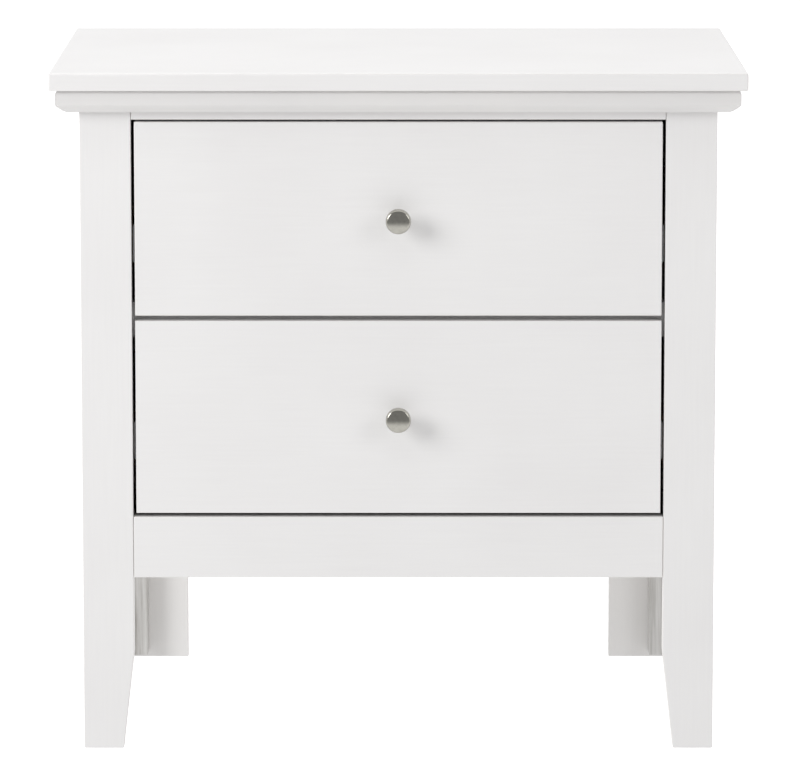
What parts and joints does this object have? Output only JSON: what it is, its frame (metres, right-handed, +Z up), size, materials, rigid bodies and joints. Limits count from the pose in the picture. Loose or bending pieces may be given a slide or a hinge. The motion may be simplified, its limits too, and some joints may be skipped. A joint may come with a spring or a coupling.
{
  "type": "nightstand",
  "caption": "White lacquered nightstand with sliding drawers, tapered front legs, a bevelled moulding under the top and round metal knobs.",
  "frame": {"origin": "on the floor, under the middle of the top panel", "axes": "+X to the right of somebody facing the drawers, +Y to the back, +Z up; the drawer fronts face -Y"},
  "size_m": [0.624, 0.457, 0.619],
  "materials": {
    "white_lacquer": "satin white lacquer on wood boards",
    "white_on_rough_wood": "thin streaky white lacquer on rough-sawn wood",
    "bare_wood": "bare pale softwood under a thin clear seal",
    "hardboard": "thin fibreboard with a pale matt face",
    "zinc_steel": "bright zinc plate",
    "satin_nickel": "satin nickel"
  },
  "bodies": {
    "case": {"top_panel": "white_lacquer", "front_moulding": "white_lacquer", "right_moulding": "white_lacquer", "left_moulding": "white_lacquer", "front_left_leg_face_board": "white_lacquer", "front_left_leg_side_board": "white_lacquer", "front_left_leg_corner_block": "white_on_rough_wood", "rear_left_leg_side_board": "white_lacquer", "rear_left_leg_back_board": "white_lacquer", "rear_left_leg_corner_block": "white_on_rough_wood", "left_side_panel": "white_lacquer", "front_right_leg_face_board": "white_lacquer", "front_right_leg_side_board": "white_lacquer", "front_right_leg_corner_block": "white_on_rough_wood", "rear_right_leg_side_board": "white_lacquer", "rear_right_leg_back_board": "white_lacquer", "rear_right_leg_corner_block": "white_on_rough_wood", "right_side_panel": "white_lacquer", "top_front_rail": "white_lacquer", "middle_front_rail": "white_lacquer", "front_apron": "white_lacquer", "rear_top_rail": "white_lacquer", "rear_bottom_rail": "white_lacquer", "bottom_panel": "hardboard", "back_panel": "hardboard", "upper_left_runner_cleat": "bare_wood", "upper_left_slide_outer_member": "zinc_steel", "upper_right_runner_cleat": "bare_wood", "upper_right_slide_outer_member": "zinc_steel", "lower_left_runner_cleat": "bare_wood", "lower_left_slide_outer_member": "zinc_steel", "lower_right_runner_cleat": "bare_wood", "lower_right_slide_outer_member": "zinc_steel"},
    "upper_drawer": {"upper_drawer_front": "white_lacquer", "upper_drawer_box_front": "bare_wood", "upper_drawer_box_left_side": "bare_wood", "upper_drawer_box_right_side": "bare_wood", "upper_drawer_box_back": "bare_wood", "upper_drawer_box_bottom": "bare_wood", "upper_drawer_knob": "satin_nickel", "upper_drawer_knob_screw": "zinc_steel", "upper_left_slide_inner_member": "zinc_steel", "upper_right_slide_inner_member": "zinc_steel"},
    "upper_slide_middles": {"upper_left_slide_middle_member": "zinc_steel", "upper_right_slide_middle_member": "zinc_steel"},
    "lower_drawer": {"lower_drawer_front": "white_lacquer", "lower_drawer_box_front": "bare_wood", "lower_drawer_box_left_side": "bare_wood", "lower_drawer_box_right_side": "bare_wood", "lower_drawer_box_back": "bare_wood", "lower_drawer_box_bottom": "bare_wood", "lower_drawer_knob": "satin_nickel", "lower_drawer_knob_screw": "zinc_steel", "lower_left_slide_inner_member": "zinc_steel", "lower_right_slide_inner_member": "zinc_steel"},
    "lower_slide_middles": {"lower_left_slide_middle_member": "zinc_steel", "lower_right_slide_middle_member": "zinc_steel"}
  },
  "joints": [
    {"name": "upper_drawer_slide", "type": "slide", "parent": "case", "child": "upper_drawer", "axis": [0, -1, 0], "range_m": [0, 0.35]},
    {"name": "upper_middle_slide", "type": "slide", "parent": "case", "child": "upper_slide_middles", "axis": [0, -1, 0], "range_m": [0, 0.175]},
    {"name": "lower_drawer_slide", "type": "slide", "parent": "case", "child": "lower_drawer", "axis": [0, -1, 0], "range_m": [0, 0.35]},
    {"name": "lower_middle_slide", "type": "slide", "parent": "case", "child": "lower_slide_middles", "axis": [0, -1, 0], "range_m": [0, 0.175]}
  ],
  "couplings": [
    {"joint": "upper_middle_slide", "follows": "upper_drawer_slide", "ratio": 0.5},
    {"joint": "lower_middle_slide", "follows": "lower_drawer_slide", "ratio": 0.5}
  ]
}
